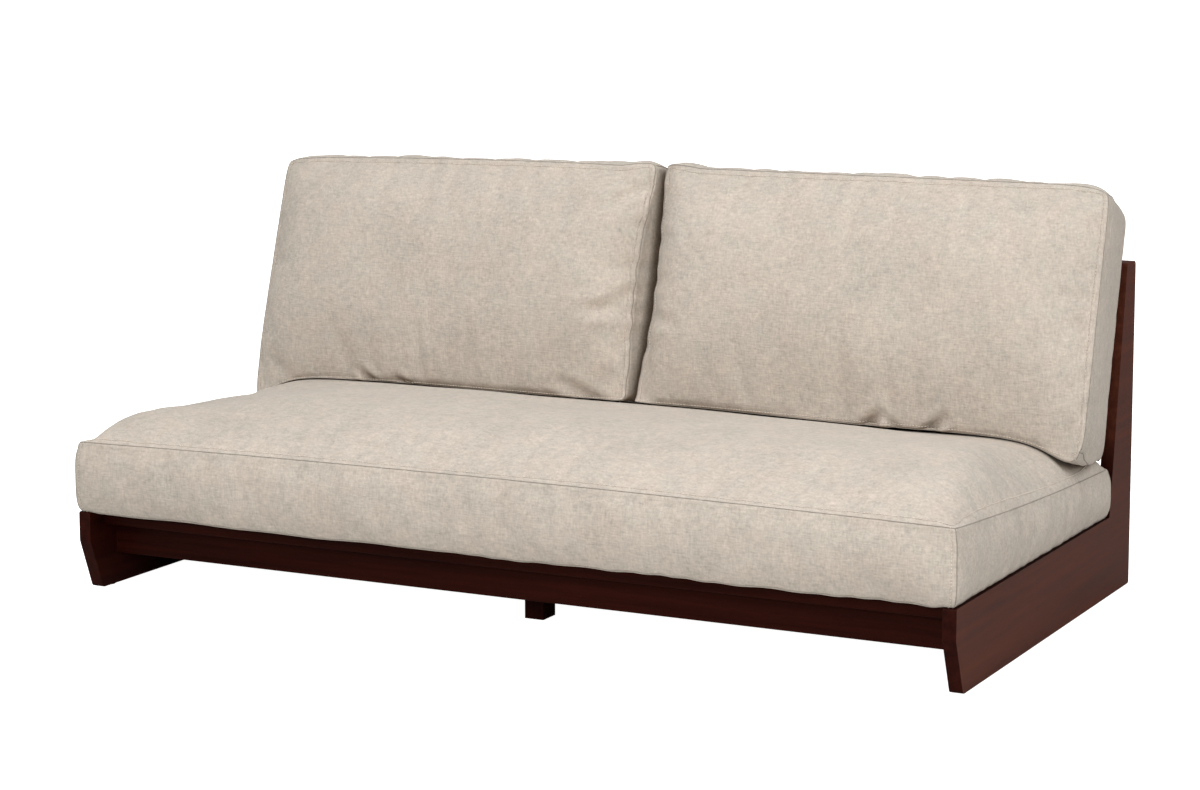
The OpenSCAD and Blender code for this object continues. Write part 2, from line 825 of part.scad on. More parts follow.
// Height up the lean at which the foot of a back cushion just clears the seat, over samples
// across its depth (share t) and along its length (u, with its outer end at u = 1)
foot_samples = 20;
function foot_lift(side) = max([for (k = [0:foot_samples], m = [0:foot_samples])
    let (t = k / foot_samples, u = 2 * m / foot_samples - 1, out = cushion_foot_d * t)
    let (x = back_cushion_x(side) + side * u * (back_cushion_half + cushion_bulge))
    let (drop = cushion_heel * (1 - t) + swell(back_sizes, t) + sag(back_sizes, u, -1))
    seat_up_lean(x, out, seat_up_lean(x, out, seat_rear_h)) + drop]);

module against_back(side) {
    on_back()
        translate([back_cushion_x(side), -soft_gap, foot_lift(side) + soft_gap])
            mirror([1 - side, 0, 0])
                rotate([90, 0, 0])
                    children();
}

module back_cushion(side) {
    against_back(side)
        cushion_cover(back_sizes);
}

module back_foam_core(side) {
    against_back(side)
        foam_core(back_sizes);
}

side_panel_left();
side_panel_right();
deck_front_rail();
front_apron();
rear_seat_rail();
centre_bearer();
centre_leg(leg_centres[0]);  // centre_leg_front
centre_leg(leg_centres[1]);  // centre_leg_rear
side_ledger(-1);  // side_ledger_left
side_ledger(1);  // side_ledger_right
for (n = [1:deck_slats]) {
    deck_slat(-1, n);
    deck_slat(1, n);
}
back_rail(back_foot_gap, back_foot_gap + back_rail_h, back_bottom_dowels);  // back_bottom_rail
back_rail(back_top_rail_z, back_top_rail_z, back_top_dowels);  // back_top_rail
back_centre_stile();
for (n = [1:back_slats]) {
    back_slat(-1, n);
    back_slat(1, n);
}
rail_dowels();
corner_brackets();
bracket_screws();
ledger_screws();
slat_screws();
leg_bolts();
floor_glides();
seat_cushion();
seat_foam_core();
back_cushion(-1);  // back_cushion_left
back_cushion(1);  // back_cushion_right
back_foam_core(-1);  // back_foam_core_left
back_foam_core(1);  // back_foam_core_right
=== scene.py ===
# %% [markdown]
# # Dressing an armless sofa
#
# The rigid parts of this sofa come from a CAD model: two side boards, rails, a slatted deck and a
# leaning slatted back. This lesson gives the wood its stain and rounded edges, and replaces the three
# plain cushion solids by sewn, stuffed cushions. Lengths are in metres, X runs along the sofa, the
# front faces -Y and Z is up.

# %% Load the frame
import math

import bpy
import numpy as np
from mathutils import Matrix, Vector
from mathutils.bvhtree import BVHTree


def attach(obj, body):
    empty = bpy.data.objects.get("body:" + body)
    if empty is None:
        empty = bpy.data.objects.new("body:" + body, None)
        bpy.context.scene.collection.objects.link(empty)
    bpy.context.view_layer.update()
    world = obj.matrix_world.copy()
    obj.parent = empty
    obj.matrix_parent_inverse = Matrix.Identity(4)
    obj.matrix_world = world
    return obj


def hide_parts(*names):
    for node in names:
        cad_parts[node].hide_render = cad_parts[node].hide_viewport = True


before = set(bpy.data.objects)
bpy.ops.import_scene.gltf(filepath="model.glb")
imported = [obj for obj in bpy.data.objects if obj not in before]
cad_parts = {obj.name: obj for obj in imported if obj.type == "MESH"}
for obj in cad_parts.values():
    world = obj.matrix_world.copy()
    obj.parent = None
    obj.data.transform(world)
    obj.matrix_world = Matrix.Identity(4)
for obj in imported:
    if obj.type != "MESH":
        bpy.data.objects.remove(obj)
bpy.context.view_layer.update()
MM = 0.001
BACK_RAKE = math.radians(9.5)

# %% [markdown]
# ## The camera
#
# A view is set by where the camera stands, where it points and how long its lens is. These values
# were found by fitting the corners of the frame to their places in the picture. A small vertical
# shift lets the camera tilt less, which keeps the uprights nearly parallel.

# %% Camera
IMAGE_W = 1200
CAMERA_PLACE = (2.581, -5.124, 1.328)
CAMERA_TURN = 26.86
CAMERA_TILT = 7.56
LENS_PIXELS = 2999
SENSOR_W = 36
PICTURE_SHIFT = -0.079


def studio_camera():
    """The camera of the picture, as an object in the scene."""
    data = bpy.data.cameras.new("camera")
    data.sensor_width = SENSOR_W
    data.lens = LENS_PIXELS / IMAGE_W * SENSOR_W
    data.shift_y = PICTURE_SHIFT
    camera = bpy.data.objects.new("camera", data)
    camera.location = CAMERA_PLACE
    camera.rotation_euler = (math.radians(90 - CAMERA_TILT), 0, math.radians(CAMERA_TURN))
    bpy.context.scene.collection.objects.link(camera)
    bpy.context.scene.camera = camera
    return camera


camera = studio_camera()
print("lens:", round(camera.data.lens, 1), "mm")

# %% [markdown]
# ## Wiring shader nodes
#
# A material is a small graph. Writing each node and link out takes many lines, so this helper adds
# a node with its settings and plugs a number, a colour or another node's output into each input.
# Two more helpers make a new material and an object from points and faces.

# %% Helpers


class Wiring:
    """Adds nodes to one node tree."""

    def __init__(self, tree):
        self.tree = tree

    def plug(self, socket, value):
        if isinstance(value, bpy.types.NodeSocket):
            self.tree.links.new(value, socket)
        else:
            socket.default_value = value

    def node(self, kind, settings=None, **inputs):
        made = self.tree.nodes.new(kind)
        for name, value in (settings or {}).items():
            setattr(made, name, value)
        for name, value in inputs.items():
            self.plug(made.inputs[name.replace("_", " ")], value)
        return made

    def math(self, operation, a, b=0.0):
        made = self.node("ShaderNodeMath", {"operation": operation})
        self.plug(made.inputs[0], a)
        self.plug(made.inputs[1], b)
        return made.outputs[0]

    def mix(self, share, a, b, blend="MIX"):
        made = self.node("ShaderNodeMix", {"data_type": "RGBA", "blend_type": blend})
        self.plug(made.inputs[0], share)
        self.plug(made.inputs[6], a)
        self.plug(made.inputs[7], b)
        return made.outputs[2]

    def vector(self, operation, a, b):
        made = self.node("ShaderNodeVectorMath", {"operation": operation})
        self.plug(made.inputs[0], a)
        self.plug(made.inputs[1], b)
        return made.outputs["Value" if operation == "DOT_PRODUCT" else "Vector"]

    def stretched(self, vector, scale):
        return self.vector("MULTIPLY", vector, scale)

    def object_place(self):
        return self.node("ShaderNodeTexCoord").outputs["Object"]

    def bump(self, shader, height, strength, distance):
        made = self.node("ShaderNodeBump", Height=height, Strength=strength, Distance=distance)
        self.plug(shader.inputs["Normal"], made.outputs[0])

    def noise(self, vector, scale, detail=2.0, roughness=0.5):
        made = self.node("ShaderNodeTexNoise", Vector=vector, Scale=scale, Detail=detail,
                         Roughness=roughness)
        return made.outputs["Fac"]

    def remap(self, value, low, high, to_low, to_high):
        made = self.node("ShaderNodeMapRange", Value=value)
        ends = {"From Min": low, "From Max": high, "To Min": to_low, "To Max": to_high}
        for name, number in ends.items():
            self.plug(made.inputs[name], number)
        return made.outputs["Result"]


def node_group(name, inputs, outputs):
    """A shader node group with named sockets, and its wiring, input and output nodes."""
    group = bpy.data.node_groups.new(name, "ShaderNodeTree")
    for socket, kind, value in inputs:
        group.interface.new_socket(name=socket, in_out="INPUT", socket_type=kind).default_value = value
    for socket, kind in outputs:
        group.interface.new_socket(name=socket, in_out="OUTPUT", socket_type=kind)
    wires = Wiring(group)
    return group, wires, wires.node("NodeGroupInput").outputs, wires.node("NodeGroupOutput").inputs


def new_material(name):
    """An empty material with its wiring and its Principled shader."""
    material = bpy.data.materials.new(name)
    material.use_nodes = True
    return material, Wiring(material.node_tree), material.node_tree.nodes["Principled BSDF"]


def mesh_object(name, points, faces):
    """A mesh object in the scene, smooth shaded."""
    mesh = bpy.data.meshes.new(name)
    mesh.from_pydata([tuple(p) for p in points], [], faces)
    mesh.polygons.foreach_set("use_smooth", [True] * len(mesh.polygons))
    mesh.update()
    made = bpy.data.objects.new(name, mesh)
    bpy.context.scene.collection.objects.link(made)
    return made


FLOAT, VECTOR = "NodeSocketFloat", "NodeSocketVector"

# %% [markdown]
# ## Floor and light
#
# Large area lights give soft shadows: the broadest one hangs over the sofa, one to the right lights
# the side board, and the strongest fills the front. The world, brightest above and less so on the
# left, lights the rest. The floor glows pure white to the camera, and gives the sofa no more light
# than a pale floor does.

# %% Floor and lights
FLOOR_SIZE = 600
SKY_LEVEL = 0.02
SKY_LOBES = (((0, 0, 1), 0.85), ((-1, 0, 0), 0.30))
TOP_WATTS, RIGHT_WATTS, FRONT_WATTS = 44, 54, 113
FLOOR_COLOUR = (0.84, 0.84, 0.84, 1)
FLOOR_GLOW = 1.0
FLOOR_BOUNCE = (0.62, 0.61, 0.59, 1)


def pale_floor():
    """A plain floor under the sofa that belongs to the stage."""
    half = FLOOR_SIZE / 2
    corners = [(-half, -half, 0), (half, -half, 0), (half, half, 0), (-half, half, 0)]
    floor = mesh_object("floor", corners, [(0, 1, 2, 3)])
    material, wires, seen = new_material("floor")
    seen.inputs["Base Color"].default_value = FLOOR_COLOUR
    seen.inputs["Roughness"].default_value = 0.9
    seen.inputs["Emission Color"].default_value = (1, 1, 1, 1)
    seen.inputs["Emission Strength"].default_value = FLOOR_GLOW
    bounce = wires.node("ShaderNodeBsdfDiffuse", Color=FLOOR_BOUNCE)
    chooser = wires.node("ShaderNodeMixShader")
    wires.plug(chooser.inputs[0], wires.node("ShaderNodeLightPath").outputs["Is Camera Ray"])
    wires.plug(chooser.inputs[1], bounce.outputs[0])
    wires.plug(chooser.inputs[2], seen.outputs[0])
    wires.plug(material.node_tree.nodes["Material Output"].inputs["Surface"], chooser.outputs[0])
    floor.data.materials.append(material)


def soft_light(name, place, target, size, watts):
    """An area light at place, turned towards target."""
    data = bpy.data.lights.new(name, "AREA")
    data.shape = "RECTANGLE"
    data.size, data.size_y = size
    data.energy = watts
    light = bpy.data.objects.new(name, data)
    light.location = place
    light.rotation_euler = (Vector(target) - Vector(place)).to_track_quat("-Z", "Y").to_euler()
    bpy.context.scene.collection.objects.link(light)


pale_floor()
soft_light("top_light", (0.5, -1.3, 3.4), (0.1, 0.05, 0.4), (3.2, 2.4), TOP_WATTS)
soft_light("right_light", (4.6, -1.0, 1.7), (0.6, 0, 0.3), (1.8, 2.0), RIGHT_WATTS)
soft_light("front_light", (0.6, -4.8, 2.4), (0.3, 0, 0.5), (2.4, 2.0), FRONT_WATTS)
world = bpy.data.worlds.new("studio")
world.use_nodes = True
background = world.node_tree.nodes["Background"]
background.inputs["Color"].default_value = (1, 1, 1, 1)
sky = Wiring(world.node_tree)
level = SKY_LEVEL
for direction, lobe in SKY_LOBES:
    seen_from = sky.node("ShaderNodeTexCoord").outputs["Generated"]
    towards = sky.math("MAXIMUM", sky.vector("DOT_PRODUCT", seen_from, direction), 0.0)
    level = sky.math("ADD", level, sky.math("MULTIPLY", towards, lobe))
level = sky.math("MAXIMUM", level, sky.node("ShaderNodeLightPath").outputs["Is Camera Ray"])
sky.plug(background.inputs["Strength"], level)
bpy.context.scene.world = world
bpy.context.scene.view_settings.view_transform = "Standard"

# %% [markdown]
# ## Heathered weave
#
# The covers are a mottled beige weave. Yarns of slightly different beige lie beside each other, so
# the cloth shows short flecks along both thread directions and soft cloudy patches. One group makes
# all of it from the object's own coordinates, so no UV map is needed: a shade to multiply the colour
# by, a warmth that chooses between two beiges, and a height for the bump.

# %% Heathered weave group


def heathered_weave():
    """Group that gives the shade, the warmth and the height of the cover's cloth."""
    group, wires, given, result = node_group(
        "Heathered weave",
        [("Patches", FLOAT, 0.072), ("Flecks", FLOAT, 0.1), ("Thread", FLOAT, 1300.0)],
        [("Shade", FLOAT), ("Warmth", FLOAT), ("Height", FLOAT)])
    place = wires.object_place()
    cloud = wires.noise(place, 9.0, 3.0)
    blotch = wires.noise(place, 60.0, 4.0, 0.65)
    warp = wires.noise(wires.stretched(place, (260, 260, 75)), 1.0, 3.0, 0.6)
    weft = wires.noise(wires.stretched(place, (75, 150, 280)), 1.0, 3.0, 0.6)
    patches = wires.math("ADD", wires.remap(cloud, 0.3, 0.7, -0.6, 0.6),
                         wires.remap(blotch, 0.3, 0.7, -1, 1))
    flecks = wires.math("ADD", wires.remap(warp, 0.3, 0.7, -1, 1), wires.remap(weft, 0.3, 0.7, -1, 1))
    shade = wires.math("ADD", 1.0, wires.math("MULTIPLY", patches, given["Patches"]))
    shade = wires.math("ADD", shade, wires.math("MULTIPLY", flecks, given["Flecks"]))
    axes = wires.node("ShaderNodeSeparateXYZ", Vector=place).outputs
    over = [wires.math("SINE", wires.math("MULTIPLY", axis, given["Thread"])) for axis in axes]
    crossed = [wires.math("MULTIPLY", over[a], over[b]) for a, b in ((0, 2), (1, 2), (0, 1))]
    yarn = wires.math("ADD", wires.math("ADD", crossed[0], crossed[1]), crossed[2])
    wires.plug(result["Shade"], shade)
    wires.plug(result["Warmth"], wires.noise(place, 23.0, 2.0))
    wires.plug(result["Height"], wires.math("ADD", wires.math("MULTIPLY", yarn, 0.3), flecks))
    return group


WEAVE = heathered_weave()

# %% [markdown]
# ## Wood grain and worn edges
#
# Wood grain is long along the board and short across it, so the group stretches a noise along the
# first axis of the vector that it is given. A mapping node before it turns that axis along each
# board. A second group finds the arrises, where stain rubs thin: a Bevel node bends the normal near
# an edge, and the difference from the true normal marks it.

# %% Wood groups


def wood_grain():
    """Group that gives the streaks, pores and height of wood whose grain runs along the vector's X."""
    group, wires, given, result = node_group(
        "Wood grain",
        [("Vector", VECTOR, (0, 0, 0)), ("Coarseness", FLOAT, 1.0)],
        [("Streaks", FLOAT), ("Pores", FLOAT), ("Height", FLOAT)])
    scaled = wires.node("ShaderNodeVectorMath", {"operation": "SCALE"}, Vector=given["Vector"],
                        Scale=given["Coarseness"]).outputs[0]
    bend = wires.noise(wires.stretched(scaled, (1.4, 9, 9)), 1.0, 2.0)
    rings = wires.noise(wires.stretched(scaled, (2.2, 60, 60)), 1.0, 4.0, 0.62)
    streaks = wires.math("ADD", wires.math("MULTIPLY", rings, 0.7), wires.math("MULTIPLY", bend, 0.3))
    pores = wires.noise(wires.stretched(scaled, (22, 900, 900)), 1.0, 2.0)
    pores = wires.remap(pores, 0.56, 0.72, 0, 1)
    wires.plug(result["Streaks"], wires.remap(streaks, 0.32, 0.68, 0, 1))
    wires.plug(result["Pores"], pores)
    wires.plug(result["Height"], wires.math("SUBTRACT", wires.math("MULTIPLY", streaks, 0.4), pores))
    return group


def worn_edges():
    """Group that marks the arrises of a board, broken up by noise."""
    group, wires, given, result = node_group("Worn edges", [("Width", FLOAT, 0.002)], [("Mask", FLOAT)])
    bent = wires.node("ShaderNodeBevel", {"samples": 4}, Radius=given["Width"]).outputs[0]
    true = wires.node("ShaderNodeNewGeometry").outputs["Normal"]
    edge = wires.remap(wires.vector("DOT_PRODUCT", bent, true), 0.995, 0.86, 0, 1)
    broken = wires.noise(wires.object_place(), 38.0, 3.0)
    wires.plug(result["Mask"], wires.math("MULTIPLY", edge, wires.remap(broken, 0.35, 0.6, 0, 1)))
    return group


GRAIN = wood_grain()
EDGES = worn_edges()
print("groups:", [group.name for group in bpy.data.node_groups])

# %% [markdown]
# ## Materials of the frame
#
# The visible boards have a dark red-brown stain under a satin lacquer. The slats and ledgers under
# the cushion are left plain. Each grain direction is its own material, and all of them share the two
# groups. The outer faces and the uprights of the side boards are painted lighter than the low edges:
# this is painted light, standing in for the light that falls on them.

# %% Stained and plain wood
ALONG = {"x": (0, 0, 0), "y": (0, 0, math.radians(90)), "z": (0, math.radians(90), 0),
         "lean": (BACK_RAKE, math.radians(90), 0)}
# Each wood has the colours of its dark streaks, its light streaks and its worn edges.
STAIN = ((0.013, 0.0018, 0.0010, 1), (0.037, 0.0062, 0.0032, 1), (0.09, 0.028, 0.017, 1))
PINE = ((0.46, 0.27, 0.13, 1), (0.66, 0.45, 0.25, 1), (0.74, 0.56, 0.36, 1))
# Lighter streak colours painted on the side boards' outer faces and uprights: painted light.
LIT_SIDE_COLOURS = ((0.050, 0.0125, 0.0070, 1), (0.110, 0.0320, 0.0180, 1))
# Heights where the painted light on the uprights begins and where it is full.
LIT_UPRIGHT_FROM, LIT_UPRIGHT_FULL = 0.25, 0.35
PORE_SHARE, WORN_SHARE = 0.35, 0.45


def wood(name, along, tones, roughness, gloss, coarseness=1.0, face=None):
    """Wood whose grain runs along one of the directions above; face holds the lighter colours painted
    on the side boards' outer faces and uprights, as painted light.
    """
    dark, light, worn = tones
    material, wires, shader = new_material(f"{name}_{along}")
    place = wires.object_place()
    turned = wires.node("ShaderNodeMapping", Vector=place, Rotation=ALONG[along]).outputs[0]
    grain = wires.node("ShaderNodeGroup", {"node_tree": GRAIN}, Vector=turned,
                       Coarseness=coarseness).outputs
    edge = wires.node("ShaderNodeGroup", {"node_tree": EDGES}).outputs["Mask"]
    colour = wires.mix(grain["Streaks"], dark, light)
    if face:
        # Painted light: the outward faces and the uprights above the seat get the lighter colours.
        normal = wires.node("ShaderNodeNewGeometry").outputs["Normal"]
        facing = wires.node("ShaderNodeSeparateXYZ", Vector=normal).outputs
        where = wires.node("ShaderNodeSeparateXYZ", Vector=place).outputs
        outer = wires.math("MULTIPLY", facing[0], wires.math("SIGN", where[0]))
        lit_upright = wires.remap(where[2], LIT_UPRIGHT_FROM, LIT_UPRIGHT_FULL, 0, 1)
        painted_light_share = wires.math("MAXIMUM", wires.remap(outer, 0.6, 0.9, 0, 1), lit_upright)
        colour = wires.mix(painted_light_share, colour, wires.mix(grain["Streaks"], *face))
    colour = wires.mix(wires.math("MULTIPLY", grain["Pores"], PORE_SHARE), colour, dark)
    colour = wires.mix(wires.math("MULTIPLY", edge, WORN_SHARE), colour, worn)
    wires.plug(shader.inputs["Base Color"], colour)
    rough = wires.remap(grain["Streaks"], 0, 1, roughness, roughness + 0.1)
    wires.plug(shader.inputs["Roughness"], rough)
    shader.inputs["Specular IOR Level"].default_value = gloss
    wires.bump(shader, grain["Height"], 0.25, 0.0004)
    return material


STAINED = {along: wood("stained_wood", along, STAIN, 0.42, 0.04) for along in ALONG}
PANEL = wood("stained_panel", "y", STAIN, 0.42, 0.05, face=LIT_SIDE_COLOURS)
PLAIN = {along: wood("plain_wood", along, PINE, 0.55, 0.4, 0.8) for along in "xy"}

# %% [markdown]
# ## Steel, plastic and foam
#
# Brackets and screws are zinc-plated: pale, slightly blotchy and softly reflecting. The glides are
# black plastic with a fine texture. The foam cores are hidden, and still get an open-cell look.

# %% Hardware and foam materials


def speckled(name, colours, scale, roughness, metallic=0.0, bump_depth=0.0002):
    """A material whose colour, roughness and bump vary with one noise."""
    material, wires, shader = new_material(name)
    speck = wires.noise(wires.object_place(), scale, 3.0, 0.6)
    wires.plug(shader.inputs["Base Color"], wires.mix(wires.remap(speck, 0.35, 0.65, 0, 1), *colours))
    wires.plug(shader.inputs["Roughness"], wires.remap(speck, 0.3, 0.7, *roughness))
    shader.inputs["Metallic"].default_value = metallic
    wires.bump(shader, speck, 0.3, bump_depth)
    return material


STEEL = speckled("zinc_steel", ((0.50, 0.51, 0.52, 1), (0.66, 0.66, 0.64, 1)), 160, (0.28, 0.46), 1.0)
GLIDE = speckled("glide_plastic", ((0.012, 0.012, 0.012, 1), (0.03, 0.03, 0.03, 1)), 900, (0.45, 0.6))
FOAM = speckled("foam", ((0.78, 0.68, 0.42, 1), (0.88, 0.80, 0.55, 1)), 700, (0.85, 0.95), 0.0, 0.0008)

# %% [markdown]
# ## Dressing the CAD nodes
#
# The frame's meshes are right as they are, so each keeps its mesh. A Weld modifier joins the split
# corners of the import, and a small Bevel gives every arris the rounding that sanding leaves, which
# catches a thin line of light. The cores of the back cushions are squeezed a little by their covers.

# %% Frame materials and edges
GRAIN_OF = {"deck_front_rail": "x", "front_apron": "x", "rear_seat_rail": "x",
            "centre_bearer": "y", "centre_leg": "z", "back_bottom_rail": "x", "back_top_rail": "x",
            "back_centre_stile": "lean", "back_slat": "lean"}
PLAIN_OF = {"side_ledger": "y", "deck_slat": "x", "rail_dowels": "x"}
STEEL_NODES = ("corner_brackets", "bracket_screws", "ledger_screws", "slat_screws", "leg_bolts")
ARRIS = 1.2 * MM
WELD_REACH = 0.01 * MM
FOAM_SQUEEZE = 12 * MM


def finish_of(node):
    """The material of a CAD node, chosen by the start of its name."""
    if node.startswith("side_panel"):
        return PANEL
    for table, materials in ((GRAIN_OF, STAINED), (PLAIN_OF, PLAIN)):
        for start, along in table.items():
            if node.startswith(start):
                return materials[along]
    if node in STEEL_NODES:
        return STEEL
    return FOAM if "foam" in node else GLIDE


def weld(node):
    """Joins the split corners that the import leaves."""
    node.modifiers.new("weld", "WELD").merge_threshold = WELD_REACH


def soften_arrises(node):
    """Rounds the sharp edges of a board a little."""
    weld(node)
    bevel = node.modifiers.new("arris", "BEVEL")
    bevel.width = ARRIS
    bevel.segments = 2
    bevel.limit_method = "ANGLE"
    bevel.angle_limit = math.radians(50)


def squeeze(node):
    """Draws the foam in a little all round, as a tight cover does."""
    weld(node)
    shrink = node.modifiers.new("squeeze", "DISPLACE")
    shrink.mid_level = 0
    shrink.strength = -FOAM_SQUEEZE


finishes = set()
for name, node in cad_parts.items():
    if not node.material_slots:
        node.data.materials.append(None)
    for slot in node.material_slots:
        slot.material = finish_of(name)
        finishes.add(slot.material.name)
    if name.startswith(tuple(GRAIN_OF)) or name.startswith(("side_panel", "deck_slat", "side_ledger")):
        soften_arrises(node)
    if name.startswith("back_foam_core"):
        squeeze(node)
print("finishes:", sorted(finishes))

# %% [markdown]
# ## Cover materials
#
# The cover's own material multiplies its beige by the weave's shade and drifts a little between a
# warmer and a cooler beige. Its deep crevices get painted shade, a dark brown that the material
# finds by how little open space the cloth has in front of it. The seam uses the same cloth in a
# darker tone, painted shade of its fold, and the stitches use it in a lighter tone, sewn tone on tone.

# %% Cover materials
BEIGE_COOL, BEIGE_WARM = (0.490, 0.440, 0.379, 1), (0.517, 0.449, 0.385, 1)
# How far the cloth looks for open space, and the brown of the painted shade in its crevices.
CREVICE_SHADE_REACH = 0.030
PAINTED_CREVICE_SHADE = (0.27, 0.205, 0.135, 1)


def cloth(name, tone, flecks, crevice_shaded=False):
    """Heathered cloth in a lighter or darker tone of the cover, with painted shade in its crevices if
    asked.
    """
    material, wires, shader = new_material(name)
    weave = wires.node("ShaderNodeGroup", {"node_tree": WEAVE}, Flecks=flecks).outputs
    beige = wires.mix(wires.remap(weave["Warmth"], 0.35, 0.65, 0, 1), BEIGE_COOL, BEIGE_WARM)
    shade = wires.math("MULTIPLY", weave["Shade"], tone)
    shade_colour = wires.node("ShaderNodeCombineColor", Red=shade, Green=shade, Blue=shade).outputs[0]
    colour = wires.mix(1.0, beige, shade_colour, "MULTIPLY")
    if crevice_shaded:
        # Painted shade: where little open space lies in front of the cloth, its colour darkens towards
        # brown.
        openness = wires.node("ShaderNodeAmbientOcclusion", {"samples": 8},
                              Distance=CREVICE_SHADE_REACH).outputs["AO"]
        crevice_shade = wires.mix(wires.remap(openness, 0.25, 0.75, 0, 1), PAINTED_CREVICE_SHADE, (1, 1, 1, 1))
        colour = wires.mix(1.0, colour, crevice_shade, "MULTIPLY")
    wires.plug(shader.inputs["Base Color"], colour)
    shader.inputs["Roughness"].default_value = 0.92
    shader.inputs["Specular IOR Level"].default_value = 0.2
    shader.inputs["Sheen Weight"].default_value = 0.12
    shader.inputs["Sheen Roughness"].default_value = 0.5
    wires.bump(shader, weave["Height"], 0.3, 0.0006)
    return material


COVER = cloth("cover_cloth", 0.985, 0.105, True)
# The seam's darker tone is painted shade of its folded edge.
SEAM_SHADE = cloth("seam_shade_cloth", 0.62, 0.03)
STITCH = cloth("stitch_thread", 1.32, 0.02)

# %% [markdown]
# ## The shape of a boxed cushion
#
# A boxed cushion is two panels joined by a strip of cloth, the border. Its face is crowned by the
# stuffing, its border swells between the two seams, and its corners are drawn in by the sewing. Both
# shapes below have the same kinds of sizes, so one set of functions makes them. A place on the face
# is u along it and v across it, each from -1 to 1, and t runs up the border from 0 to 1.

# %% Cushion sizes
# Lengths: half the length of the face and its width; the border's height at the near and the far
# seam, its bow in the middle and its dip at the ends; the crown, the border's bulge, the tuck of its
# lower edge and the pull of the corners; how far that edge hangs past the seam at the near side
# (heel) and the far side (fall), and how far the near outer corner hangs (sag). Powers, fills and
# slumps say how full the crown stays towards the edges, and dips what it has lost at left and right.
SEAT = dict(half=0.896, width=0.8369, near=0.137, far=0.095, bow=0.008, dip=0.006, crown=0.084,
            bulge=0.0085, tuck=0.004, pull=0.001, heel=0.0, fall=0.0, sag=0.0,
            end_power=24, near_power=3.3, corner_fill=2.2, rear_fill=6, end_slump=(5, 5), end_fill=38,
            dips=(0.34, 0.13), cells=(146, 68), rings=12, growth=0.012, cap=0.010)
BACK = dict(half=0.4477, width=0.465, near=0.248, far=0.208, bow=0.0, dip=0.0, crown=0.042,
            bulge=0.006, tuck=0.006, pull=0.007, heel=0.028, fall=0.032, sag=0.0378,
            end_power=9, near_power=2.4, corner_fill=0.0, rear_fill=0, end_slump=(0, 0), end_fill=0,
            dips=(0, 0), cells=(80, 42), rings=18, growth=0.016, cap=0.012)
CORNER_POWER, BORDER_POWER = 20, 5
CROWN_FAR_POWER = 4.0
HEM = 0.0045
HEM_RISE, STITCH_DRAW = 0.0014, 0.0012


def signed_power(value, power):
    return np.sign(value) * np.abs(value) ** power


def smooth_step(value, low, high):
    """Rises smoothly from 0 at low to 1 at high."""
    share = np.clip((value - low) / (high - low), 0, 1)
    return share * share * (3 - 2 * share)


def border_height(s, u, v):
    straight = s["near"] + (s["far"] - s["near"]) * (v + 1) / 2
    bowed = straight + s["bow"] * (1 - u * u) * ((1 - v) / 2) ** 2
    return bowed - s["dip"] * np.abs(u) ** 30 * (1 - v * v)


def seam_outline(s, u, v):
    """Place of the seam line seen from the face: a rectangle with its corners drawn in."""
    x = s["half"] * u - s["pull"] * signed_power(u, CORNER_POWER) * np.abs(v) ** CORNER_POWER
    y = (s["width"] * (v + 1) / 2 - s["sag"] * np.maximum(u, 0) ** 4 * ((1 - v) / 2) ** 2
         - s["pull"] * signed_power(v, CORNER_POWER) * np.abs(u) ** CORNER_POWER)
    return x, y


def outward(u, v):
    """Direction in which the border faces, seen from the face."""
    out = np.stack([signed_power(u, CORNER_POWER), signed_power(v, CORNER_POWER)], -1)
    return out / np.maximum(np.linalg.norm(out, axis=-1, keepdims=True), 1e-9)


def crowned_face(s, u, v):
    """Places on the stuffed face."""
    x, y = seam_outline(s, u, v)
    power = (np.where(v < 0, s["near_power"], CROWN_FAR_POWER)
             + np.where(v < 0, s["corner_fill"], s["rear_fill"]) * np.abs(u) ** 6)
    slump = np.where(u < 0, *s["end_slump"]) * smooth_step(np.abs(u), 0, 0.5)
    end_power = s["end_power"] - slump * smooth_step(v, -0.8, 0.2)
    end_power += s["end_fill"] * smooth_step(v, 0.6, 0.95)
    left_dip = smooth_step(-u, 0.55, 0.9) * smooth_step(v, -0.95, -0.45)
    left_dip *= 1 - 0.8 * smooth_step(v, 0, 0.5)
    right_dip = smooth_step(u, 0.1, 0.6) * smooth_step(v, -0.5, 0.3)
    height = 1 - s["dips"][0] * left_dip - s["dips"][1] * right_dip
    crown = height * (1 - np.abs(u) ** end_power) * (1 - np.abs(v) ** power)
    return np.stack([x, y, border_height(s, u, v) + s["crown"] * np.maximum(crown, 0)], -1)


def heel_drop(s, v):
    """How far the resting side of the border hangs lower than its seam."""
    return s["heel"] * ((1 - v) / 2) ** 3 + s["fall"] * ((1 + v) / 2) ** 3


def boxed_border(s, u, v, t):
    """Places on the border, at share t of its height."""
    x, y = seam_outline(s, u, v)
    out = outward(u, v)
    swell = s["bulge"] * (1 - np.abs(2 * t - 1) ** BORDER_POWER) - s["tuck"] * max(1 - t / 0.08, 0) ** 2
    return np.stack([x + out[:, 0] * swell, y + out[:, 1] * swell - (1 - t) * heel_drop(s, v),
                     border_height(s, u, v) * t], -1)


def flat_underside(s, u, v):
    """Places on the face that rests on the frame."""
    x, y = seam_outline(s, u, v)
    inward = outward(u, v) * (s["tuck"] * np.maximum(np.abs(u), np.abs(v)) ** CORNER_POWER)[:, None]
    return np.stack([x - inward[:, 0], y - inward[:, 1] - heel_drop(s, v), 0 * x], -1)


# %% [markdown]
# ## A mesh that knows its seams
#
# A remeshed cushion forgets where it was sewn. This one is woven from two grids and a band of rings,
# all in quads, so the seam rings are known by their numbers all the way through the simulation. Cells
# are a little smaller near the seams, where the cloth bends most.

# %% Cushion mesh


